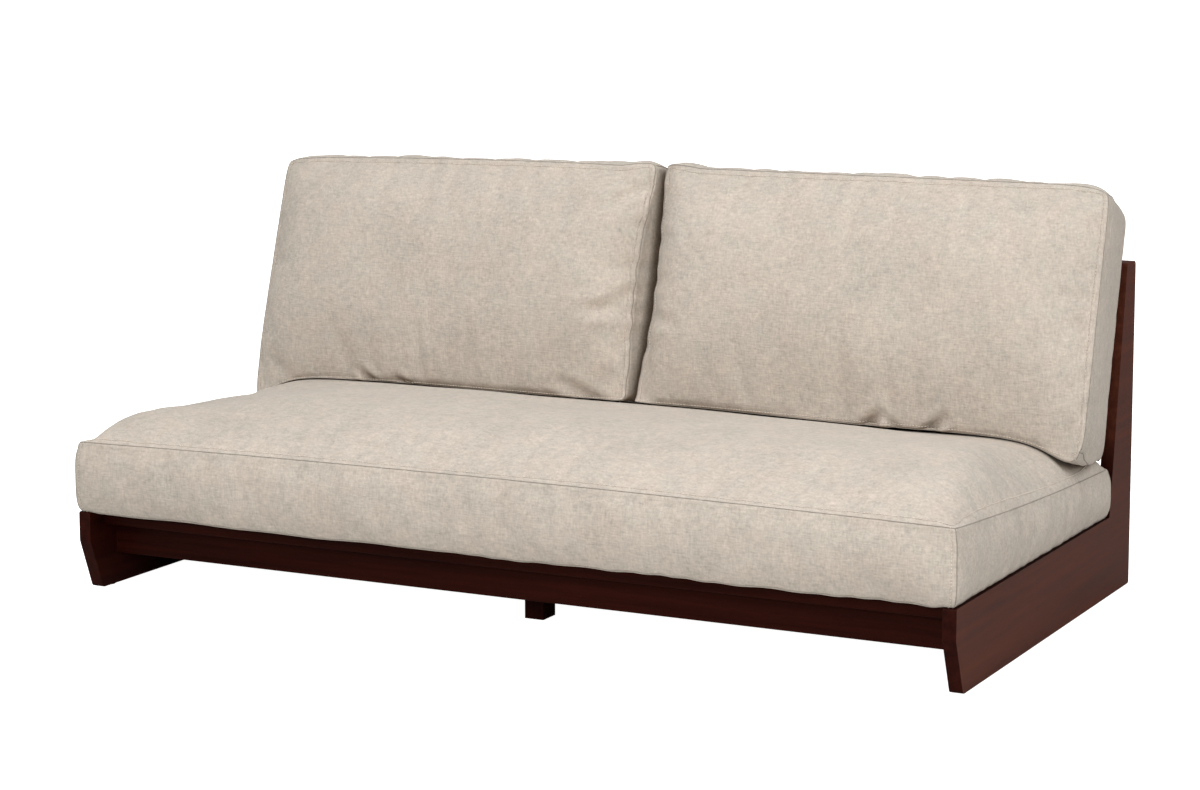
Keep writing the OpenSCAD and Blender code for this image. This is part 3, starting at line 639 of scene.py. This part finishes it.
def cell_lines(n, length):
    """Places from -1 to 1 of the lines between n cells, with a narrow cell at each end for the hem."""
    hem = 2 * HEM / length
    even = np.linspace(-1 + 2 * hem, 1 - 2 * hem, n - 3)
    return np.concatenate([[-1, -1 + hem], even, [1 - hem, 1]])


def ring_lines(n, height):
    """Shares of the border's height of its rings, with narrow steps beside the seams."""
    hem = HEM / height
    low = 0.6 * hem
    return np.concatenate([[0, low], np.linspace(2 * hem, 1 - 2 * hem, n - 3), [1 - hem]])


def edge_walk(a, b):
    """Grid corners (i, j) round the edge of a face of a by b cells."""
    return ([(i, 0) for i in range(a)] + [(a, j) for j in range(b)]
            + [(i, b) for i in range(a, 0, -1)] + [(0, j) for j in range(b, 0, -1)])


def cushion_net(s):
    """Points and quads of a cushion, with u, v, t of each point and the numbers of its seam rings."""
    a, b = s["cells"]
    lines_u, lines_v = cell_lines(a, 2 * s["half"]), cell_lines(b, s["width"])
    shares = ring_lines(s["rings"], s["near"])
    v_grid, u_grid = np.meshgrid(lines_v, lines_u, indexing="ij")
    u_top, v_top = u_grid.ravel(), v_grid.ravel()
    walk = edge_walk(a, b)
    inner = [(i, j) for j in range(1, b) for i in range(1, a)]
    i, j = np.transpose(walk)
    u_edge, v_edge = lines_u[i], lines_v[j]
    i, j = np.transpose(inner)
    u_low, v_low = lines_u[i], lines_v[j]
    rings, edge, grid = s["rings"], len(walk), (a + 1) * (b + 1)
    parts = [crowned_face(s, u_top, v_top)]
    parts += [boxed_border(s, u_edge, v_edge, share) for share in shares]
    parts.append(flat_underside(s, u_low, v_low))
    u = np.concatenate([u_top] + [u_edge] * rings + [u_low])
    v = np.concatenate([v_top] + [v_edge] * rings + [v_low])
    t = np.concatenate([np.full(grid, 2.0)] + [np.full(edge, share) for share in shares]
                       + [np.full(len(inner), -1.0)])
    top = [[j * (a + 1) + i for i in range(a + 1)] for j in range(b + 1)]
    ring = [[grid + r * edge + k for k in range(edge)] for r in range(rings)]
    ring.append([top[j][i] for i, j in walk])
    low = dict(zip(inner, range(grid + rings * edge, grid + rings * edge + len(inner))))
    low.update(dict(zip(walk, ring[0])))
    quads = [(top[j][i], top[j][i + 1], top[j + 1][i + 1], top[j + 1][i])
             for j in range(b) for i in range(a)]
    quads += [(ring[r][k], ring[r][(k + 1) % edge], ring[r + 1][(k + 1) % edge], ring[r + 1][k])
              for r in range(rings) for k in range(edge)]
    quads += [(low[i, j], low[i, j + 1], low[i + 1, j + 1], low[i + 1, j])
              for j in range(b) for i in range(a)]
    corners = [0, a, a + b, 2 * a + b]
    return {"points": np.concatenate(parts), "quads": quads, "u": u, "v": v, "t": t, "rings": ring,
            "corners": corners, "top": top, "size": s}


# %% [markdown]
# ## Stuffing a cover by simulation
#
# Cloth under pressure wrinkles where it is held and stays smooth where it is free. The seams and the
# resting face are pinned, the cloth is cut a little larger than the shape, and Blender's cloth solver
# blows it up for a few frames. A cap on the way each point may go keeps the cushion the size it was
# sewn, and a mask holds back what rests against another cushion.

# %% Cloth simulation
FRAMES = 20
PRESSURE = 3.0


def blown_up(points, net):
    """Points of the cloth after it has been blown up; the seam and the resting face stay put."""
    trial = mesh_object("trial", points, net["quads"])
    seams = np.zeros(len(points), bool)
    seams[net["rings"][-1]] = True
    group = trial.vertex_groups.new(name="held")
    group.add([int(k) for k in np.flatnonzero((net["t"] <= 0) | seams)], 1.0, "REPLACE")
    cloth_modifier = trial.modifiers.new("cloth", "CLOTH")
    settings = cloth_modifier.settings
    settings.quality = 6
    settings.mass = 0.25
    settings.tension_stiffness = settings.compression_stiffness = 12
    settings.shear_stiffness = 6
    settings.bending_stiffness = 0.8
    settings.use_pressure = True
    settings.uniform_pressure_force = PRESSURE
    settings.vertex_group_mass = "held"
    settings.shrink_min = -net["size"]["growth"]
    settings.effector_weights.gravity = 0
    cloth_modifier.collision_settings.use_collision = False
    cloth_modifier.point_cache.frame_end = FRAMES
    scene = bpy.context.scene
    for number in range(1, FRAMES + 1):
        scene.frame_set(number)
    evaluated = trial.evaluated_get(bpy.context.evaluated_depsgraph_get())
    moved = np.empty(len(points) * 3)
    evaluated.data.vertices.foreach_get("co", moved)
    scene.frame_set(1)
    mesh = trial.data
    bpy.data.objects.remove(trial)
    bpy.data.meshes.remove(mesh)
    return moved.reshape(-1, 3)


def capped(start, moved, cap, mask):
    """The move from start, with its length eased towards cap and scaled by mask."""
    way = moved - start
    length = np.linalg.norm(way, axis=1, keepdims=True)
    eased = cap * np.tanh(length / cap) / np.maximum(length, 1e-9)
    return start + way * eased * mask[:, None]


# %% [markdown]
# ## Listed creases
#
# Simulation gives the small puckers. The few large creases of this sofa sit where somebody plumped
# and pressed the cushions, so they are listed one by one: each is a valley from one place to another,
# with a low ridge beside it, and it fades out at its ends.

# %% Creases
FACE_LEAN = math.radians(15)


def crease(points, normals, start, end, depth, width):
    """Presses a valley into the face along the line from start to end, both given in front of it."""
    start, end = np.array(start), np.array(end)
    facing = np.array([0, -math.cos(FACE_LEAN), math.sin(FACE_LEAN)])
    way = end - start
    share = np.clip((points - start) @ way / (way @ way), 0, 1)
    aside = points - start - share[:, None] * way
    aside -= (aside @ facing)[:, None] * facing
    gap = np.linalg.norm(aside, axis=1) / width
    depth = depth * smooth_step(normals @ facing, 0.2, 0.6)
    fade = np.sin(np.pi * (0.12 + 0.76 * share))
    profile = -np.exp(-gap ** 2) + 0.45 * np.exp(-((gap - 1.9) ** 2) * 1.4)
    return points + normals * (profile * fade * depth)[:, None]


def rolling(points, seed, size, height):
    """Soft random undulation of a given size, the same on each run."""
    random = np.random.default_rng(seed)
    waves = random.normal(size=(9, 3))
    waves /= np.linalg.norm(waves, axis=1, keepdims=True)
    total = np.zeros(len(points))
    for wave in waves:
        length = size * random.uniform(0.7, 1.5)
        total += np.sin(points @ wave * 2 * math.pi / length + random.uniform(0, 6.28))
    return total * height / 3


def normals_of(points, quads):
    """Outward normal of each point."""
    faces = np.array(quads)
    a, b, c, d = (points[faces[:, k]] for k in range(4))
    across = np.cross(c - a, d - b)
    total = np.zeros_like(points)
    for k in range(4):
        np.add.at(total, faces[:, k], across)
    return total / np.maximum(np.linalg.norm(total, axis=1, keepdims=True), 1e-12)


def raise_hem(net):
    """Raises the folded allowance beside the seams and draws the cloth in at the row of stitches."""
    u, v, t, s = net["u"], net["v"], net["t"], net["size"]
    on_face = np.minimum((1 - np.abs(u)) * s["half"], (1 - np.abs(v)) * s["width"] / 2)
    away = np.where(t > 1, on_face, np.where(t < 0, 1.0, (1 - np.clip(t, 0, 1)) * s["near"]))
    ridge = HEM_RISE * np.exp(-((away - HEM) / 0.0025) ** 2)
    ridge -= STITCH_DRAW * np.exp(-((away - 2 * HEM) / 0.003) ** 2)
    return net["points"] + normals_of(net["points"], net["quads"]) * ridge[:, None]


# %% [markdown]
# ## The seat cushion
#
# One boxed cushion covers the whole deck and the side boards' edges. Its front edge hangs a few
# millimetres over the boards' noses and sags softly between them, and its rear lower corners are
# rounded where the cover is drawn in.

# %% Seat cushion
DECK_Z = 0.157
GAP = 0.0003
NOSE_Y = -0.486
UPRIGHT_Y = 0.494 - 0.054 - (0.640 - DECK_Z) * math.tan(BACK_RAKE)
PANEL_INSIDE = 0.875
UNDER_BACK_FROM, UNDER_BACK_FULL = 0.02, 0.10
FRONT_HANG = 0.0045


def seat_net():
    """The seat cushion's net in its place on the deck, before it is stuffed."""
    net = cushion_net(SEAT)
    net["points"] = net["points"] + np.array([0, NOSE_Y, DECK_Z + GAP])
    return net


def before_back(points):
    """1 on the open part of the seat, fading to 0 where the back cushions stand on it."""
    return 1 - smooth_step(points[:, 1], UNDER_BACK_FROM, UNDER_BACK_FULL)


def stuffed_seat(net):
    """Points of the seat cushion after stuffing, rolling and hanging."""
    points, t, v, u = net["points"], net["t"], net["v"], net["u"]
    mask = np.where(t <= 0, 0, np.where(t > 1, before_back(points), 1))
    points = capped(points, blown_up(points, net), SEAT["cap"], mask)
    normals = normals_of(points, net["quads"])
    on_face = (t > 1) * before_back(points) * (1 - np.abs(u) ** 12) * (1 - np.abs(v) ** 12)
    points = points + normals * (rolling(points, 5, 0.34, 0.0035) * on_face)[:, None]
    on_border = np.sin(np.pi * np.clip(t, 0, 1)) * (t <= 1)
    points = points + normals * (rolling(points, 8, 0.16, 0.0016) * on_border)[:, None]
    net["points"] = hung_over_front(points)
    return raise_hem(net)


def hung_over_front(points):
    """Lets the front lower edge sag in front of the boards and between them."""
    points = points.copy()
    x, y = points[:, 0], points[:, 1]
    front = 1 - smooth_step(y, NOSE_Y - 0.002, NOSE_Y + 0.030)
    low = 1 - smooth_step(points[:, 2], DECK_Z + 0.004, DECK_Z + 0.070)
    over_board = (np.abs(x) > PANEL_INSIDE - 0.012) & (y > NOSE_Y - 0.0022)
    wave = 0.6 + 0.25 * np.sin(x * 13.0 + 0.8) + 0.2 * np.sin(x * 31.0)
    wave += 0.25 * np.sin(x * 88.0 + 2 * np.sin(x * 17.0)) * smooth_step(x, -0.3, 0.2)
    points[:, 2] -= np.where(over_board, 0, FRONT_HANG * wave * front * low)
    return points


seat = seat_net()
seat["points"] = stuffed_seat(seat)
print("seat cushion:", len(seat["points"]), "points")

# %% [markdown]
# ## From a net to a piece
#
# The simulated points become a mesh with one level of subdivision, which rounds off the last facets.
# The seams are laid on it: each seam point is moved to the nearest place on the surface.

# %% Piece and surface


def cushion_piece(name, net, body, nodes):
    """The cushion as an object that rides on its body and stands for its CAD node."""
    piece = mesh_object(name, net["points"], net["quads"])
    piece.data.materials.append(COVER)
    smoother = piece.modifiers.new("smooth", "SUBSURF")
    smoother.levels = smoother.render_levels = 1
    with bpy.context.temp_override(object=piece, active_object=piece):
        bpy.ops.object.modifier_apply(modifier=smoother.name)
    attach(piece, body)
    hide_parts(*nodes)
    return piece


def surface_of(piece):
    """A search tree over the faces of a finished piece."""
    mesh = piece.data
    return BVHTree.FromPolygons([v.co for v in mesh.vertices], [p.vertices for p in mesh.polygons])


def laid_on(surface, points, lift):
    """Each point moved to the nearest place on the surface, and lifted off it along its normal."""
    found = [surface.find_nearest(Vector(p)) for p in points]
    places = np.array([place + normal * lift for place, normal, _, _ in found])
    return places, np.array([normal for _, normal, _, _ in found])


seat_piece = cushion_piece("seat_cushion_cover", seat, "seat", ["seat_cushion"])
seat_surface = surface_of(seat_piece)
print("seat cover:", len(seat_piece.data.polygons), "faces")

# %% [markdown]
# ## The back cushions
#
# Each stands on the seat and leans on the slats. It is made lying on its back, then turned up by the
# lean of the frame. The left one is made as the mirror image of the right one, and each has its own
# posture and creases. Its foot follows the seat's crown, because both are soft where they meet.

# %% Back cushion net
FOOT_LIFT = 0.1565
FOOT_TOP = 0.33
RAY_START = 0.12
SETTLING, CLEARANCE, SOFTNESS = 0.10, 0.0010, 0.0025
FOOT_REACH = 0.045
END_REACH = (0.035, 0.020)


def up_the_back(points, side):
    """Points of a cushion lying on its back, moved to where it leans on the frame."""
    centre = side * (BACK["half"] + BACK["bulge"] + GAP)
    x = centre + side * points[:, 0]
    up = points[:, 1] + FOOT_LIFT
    out = points[:, 2] + GAP
    y = UPRIGHT_Y - out * math.cos(BACK_RAKE) + up * math.sin(BACK_RAKE)
    z = DECK_Z + out * math.sin(BACK_RAKE) + up * math.cos(BACK_RAKE)
    return np.stack([x, y, z], -1)


def rest_on_seat(points):
    """Lowers what is just above the seat until it lies on it, and lifts what is inside it."""
    settled = points.copy()
    for k, (x, y, z) in enumerate(points):
        if z > DECK_Z + FOOT_TOP:
            continue
        below = seat_surface.ray_cast(Vector((x, y, z + RAY_START)), Vector((0, 0, -1)))[0]
        if below is None:
            continue
        gap = z - below.z
        reach = FOOT_REACH + END_REACH[x > 0] * float(smooth_step(abs(x), 0.6, 0.9))
        near = math.exp(-((gap / reach) ** 2))
        drawn = gap * (1 - near) + SETTLING * gap * near
        settled[k, 2] = below.z + CLEARANCE + SOFTNESS * math.log1p(math.exp(drawn / SOFTNESS))
    return settled


# Shifts in metres of each cushion's outer end, at the foot and at the top, of its front and its rear,
# and how its top droops towards that end. The front edges where the two meet follow a curve through
# measured places, from the top to the foot.
POSTURE = {-1: dict(front=(-0.002, -0.018), rear=(-0.022, -0.020), droop=0.016, start=-0.5, power=2),
           1: dict(front=(0.014, 0.018), rear=(-0.023, -0.010), droop=0.008, start=0.0, power=12)}
MEETING_FOOT = -0.001
MEETING_AT = (0, 0.17, 0.45, 0.73, 0.87, 1)
MEETING_FRONT = {-1: (-0.0095, -0.017, -0.030, -0.025, -0.025, -0.026),
                 1: (-0.004, -0.009, -0.010, -0.012, -0.015, -0.020)}
PUCKER = 0.0012
INNER_ROLL = 0.034
PUFF, PUFF_BEHIND, PUFF_WIDTH = 0.008, 0.026, 0.024
CORNER_LIFT = 0.010
FOOT_LIFT_BEHIND = 0.034


def postured(net, side):
    """The cushion's points with the posture that it has on this sofa."""
    points, u, v = net["points"].copy(), net["u"], net["v"]
    t = np.clip(net["t"], 0, 1)
    low, high = (1 - v) / 2, (1 + v) / 2
    way = POSTURE[side]
    front = way["front"][0] * low + way["front"][1] * high
    rear = way["rear"][0] * low + way["rear"][1] * high
    outer = rear + (front - rear) * t
    curve = np.polyval(np.polyfit(MEETING_AT, MEETING_FRONT[side], 4), low)
    curve += PUCKER * (np.sin(low * 41 + side) + np.sin(low * 67)) * (1 - high ** 8)
    inner = side * (MEETING_FOOT * low + (curve - MEETING_FOOT * low) * t ** 3)
    points[:, 0] += (1 + u) / 2 * outer + (1 - u) / 2 * inner
    share = np.maximum((u - way["start"]) / (1 - way["start"]), 0)
    points[:, 1] -= way["droop"] * share ** way["power"] * high ** 3
    points[:, 1] += (1 - t) * FOOT_LIFT_BEHIND * smooth_step(u, 0.4, 1) * low ** 3
    points[:, 1] += CORNER_LIFT * smooth_step(-u, 0.8, 1) * high ** 8
    wave = 0.7 + 0.2 * np.sin(u * 5.1 + side) + 0.1 * np.sin(u * 11.7 + 2 * side)
    behind = (1 - t) * net["size"]["far"]
    on_top = smooth_step(v, 0.9, 1) * (net["t"] <= 1) * (1 - np.abs(u) ** 40)
    points[:, 1] += PUFF * wave * on_top * np.exp(-((behind - PUFF_BEHIND) / PUFF_WIDTH) ** 2)
    if side > 0:
        roll = INNER_ROLL * np.maximum((-u - 0.88) / 0.12, 0) ** 2 * (1 - high ** 6) * (1 - low ** 5)
        points[:, 2] -= roll * t
    return points


# Each crease starts at one place, ends at another, and has a depth and a width.
CREASES = {
    -1: [((-0.010, 0.25, 0.775), (-0.110, 0.23, 0.715), 0.0075, 0.013),
         ((-0.012, 0.24, 0.748), (-0.080, 0.23, 0.700), 0.0040, 0.009),
         ((-0.030, 0.19, 0.560), (-0.105, 0.18, 0.508), 0.0055, 0.012),
         ((-0.030, 0.18, 0.522), (-0.130, 0.18, 0.514), 0.0045, 0.012),
         ((-0.648, 0.14, 0.367), (-0.600, 0.13, 0.338), 0.0070, 0.008),
         ((-0.560, 0.14, 0.356), (-0.522, 0.13, 0.340), 0.0050, 0.008),
         ((-0.180, 0.14, 0.376), (-0.080, 0.13, 0.342), 0.0060, 0.012)],
    1: [((0.484, 0.13, 0.336), (0.513, 0.14, 0.363), 0.0110, 0.010),
        ((0.520, 0.14, 0.358), (0.546, 0.13, 0.341), 0.0040, 0.007),
        ((0.604, 0.13, 0.336), (0.646, 0.14, 0.366), 0.0100, 0.009),
        ((0.070, 0.22, 0.694), (0.096, 0.22, 0.646), 0.0040, 0.010),
        ((0.000, 0.17, 0.524), (0.075, 0.17, 0.498), 0.0045, 0.012)],
}


def press_creases(piece, creases):
    """Presses each crease into a finished piece, whose mesh is fine enough to show it."""
    vertices = piece.data.vertices
    points, normals = np.empty(len(vertices) * 3), np.empty(len(vertices) * 3)
    vertices.foreach_get("co", points)
    vertices.foreach_get("normal", normals)
    points, normals = points.reshape(-1, 3), normals.reshape(-1, 3)
    for start, end, depth, width in creases:
        points = crease(points, normals, start, end, depth, width)
    vertices.foreach_set("co", points.ravel())
    piece.data.update()


def back_net(side):
    """One back cushion, stuffed and settled on the seat."""
    net = cushion_net(BACK)
    t, u, v = net["t"], net["u"], net["v"]
    if side < 0:
        net["quads"] = [quad[::-1] for quad in net["quads"]]
    points = up_the_back(postured(net, side), side)
    foot = smooth_step(v, -1.0, -0.8)
    ends = np.where(t <= 1, 1 - smooth_step(-u, 0.9, 0.99) - 0.7 * smooth_step(u, 0.9, 0.99), 1)
    mask = np.where(t <= 0, 0, np.minimum(foot, ends))
    points = capped(points, blown_up(points, net), BACK["cap"], mask)
    normals = normals_of(points, net["quads"])
    on_face = (t > 1) * (1 - np.abs(u) ** 14) * (1 - np.abs(v) ** 14)
    points = points + normals * (rolling(points, 20 + side, 0.22, 0.0030) * on_face)[:, None]
    net["points"] = rest_on_seat(points)
    net["points"] = raise_hem(net)
    return net


# %% Back cushion pieces
back_nets, back_pieces = {}, {}
for side, word in ((-1, "left"), (1, "right")):
    net = back_net(side)
    node = f"back_cushion_{word}"
    piece = cushion_piece(f"back_cushion_cover_{word}", net, f"{word}_back_cushion", [node])
    press_creases(piece, CREASES[side])
    back_nets[word], back_pieces[word] = net, piece
    print(word, "back cover:", len(piece.data.polygons), "faces")

# %% [markdown]
# ## Seams and stitches
#
# Every panel edge is a seam: the two layers are folded inside, which leaves a fine dark line of
# shade, and a row of stitches runs beside it. The line is painted shade: a thin tube of darker cloth
# sunk halfway into the cloth. The stitches are short raised dashes, all of a cushion's in one mesh.

# %% Seam tubes and stitch rows
SEAM_R = 0.0009
SEAM_STEP = 0.006
SEAM_LIFT, STITCH_LIFT = 0.0002, 0.0001
STITCH_R = 0.0007
STITCH_L = 0.0042
STITCH_STEP = 0.0060


def directions(path, closed):
    """Unit direction of a path at each of its points."""
    ahead = np.roll(path, -1, 0) - np.roll(path, 1, 0)
    if not closed:
        ahead[0], ahead[-1] = path[1] - path[0], path[-1] - path[-2]
    return ahead / np.maximum(np.linalg.norm(ahead, axis=1, keepdims=True), 1e-12)


def tube(path, radius, closed, sides=6):
    """Points and faces of a tube along a path."""
    path = np.array(path)
    count = len(path)
    ahead = directions(path, closed)
    helper = np.where(np.abs(ahead[:, 2:3]) < 0.9, [[0, 0, 1]], [[1, 0, 0]])
    side = np.cross(ahead, helper)
    side /= np.linalg.norm(side, axis=1, keepdims=True)
    over = np.cross(side, ahead)
    points = []
    for k in range(sides):
        angle = 2 * math.pi * k / sides
        points.append(path + radius * (math.cos(angle) * side + math.sin(angle) * over))
    points = np.stack(points, 1).reshape(-1, 3)
    steps = count if closed else count - 1
    faces = [(i * sides + k, i * sides + (k + 1) % sides, (i + 1) % count * sides + (k + 1) % sides,
              (i + 1) % count * sides + k) for i in range(steps) for k in range(sides)]
    if not closed:
        faces += [tuple(range(sides))[::-1], tuple((count - 1) * sides + k for k in range(sides))]
    return points, faces


def evenly(path, step, closed):
    """Points along a path at equal steps."""
    path = np.array(path)
    if closed:
        path = np.vstack([path, path[:1]])
    along = np.concatenate([[0], np.cumsum(np.linalg.norm(np.diff(path, axis=0), axis=1))])
    count = max(int(along[-1] / step), 2)
    marks = np.linspace(0, along[-1], count, endpoint=not closed)
    return np.stack([np.interp(marks, along, path[:, k]) for k in range(3)], -1)


def joined(parts):
    """Points and faces of several parts in one list each."""
    points, faces, start = [], [], 0
    for part_points, part_faces in parts:
        points.append(part_points)
        faces += [tuple(k + start for k in face) for face in part_faces]
        start += len(part_points)
    return np.vstack(points), faces


def seam_shade_tubes(paths, surface):
    """The painted shade of the seams: a thin dark tube along each path."""
    parts = []
    for path, closed in paths:
        line, _ = laid_on(surface, evenly(path, SEAM_STEP, closed), SEAM_LIFT)
        parts.append(tube(line, SEAM_R, closed))
    return parts


def stitch_dashes(paths, surface):
    """Rows of stitches along the paths, each stitch a short raised dash."""
    parts = []
    for path, closed in paths:
        marks, normals = laid_on(surface, evenly(path, STITCH_STEP, closed), STITCH_LIFT)
        for place, direction, normal in zip(marks, directions(marks, closed), normals):
            half = direction * STITCH_L / 2
            dash = [place - half, place + normal * STITCH_R, place + half]
            parts.append(tube(dash, STITCH_R, False, 4))
    return parts


def sewn_piece(name, parts, material, body):
    """All seams or all stitches of one cushion in one piece, which rides on its body."""
    piece = mesh_object(name, *joined(parts))
    piece.data.materials.append(material)
    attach(piece, body)
    print(name, len(piece.data.polygons), "faces")


def ring_path(net, ring):
    """Places along one ring of the border."""
    return [net["points"][k] for k in net["rings"][ring]]


def corner_path(net, corner, aside=0):
    """Places up the border at one corner, or a few cells aside of it."""
    k = net["corners"][corner] + aside
    return [net["points"][ring[k]] for ring in net["rings"]]


def inset_path(net, inset):
    """Places round the face, a few cells inside its seam."""
    a, b = net["size"]["cells"]
    walk = edge_walk(a - 2 * inset, b - 2 * inset)
    return [net["points"][net["top"][j + inset][i + inset]] for i, j in walk]


# %% Seams of the cushions


def cushion_seams(word, net, piece, body):
    """Seams round both faces and down each corner, and stitches inside the face and the front."""
    surface = surface_of(piece)
    paths = [(ring_path(net, -1), True), (ring_path(net, 1), True)]
    paths += [(corner_path(net, corner), False) for corner in range(4)]
    sewn_piece(f"{word}_seams", seam_shade_tubes(paths, surface), SEAM_SHADE, body)
    rows = [(inset_path(net, 2), True)]
    rows += [(corner_path(net, corner, aside), False) for corner, aside in ((0, 2), (1, -2))]
    sewn_piece(f"{word}_stitches", stitch_dashes(rows, surface), STITCH, body)


cushion_seams("seat", seat, seat_piece, "seat")
for word in ("left", "right"):
    cushion_seams(f"{word}_back", back_nets[word], back_pieces[word], f"{word}_back_cushion")
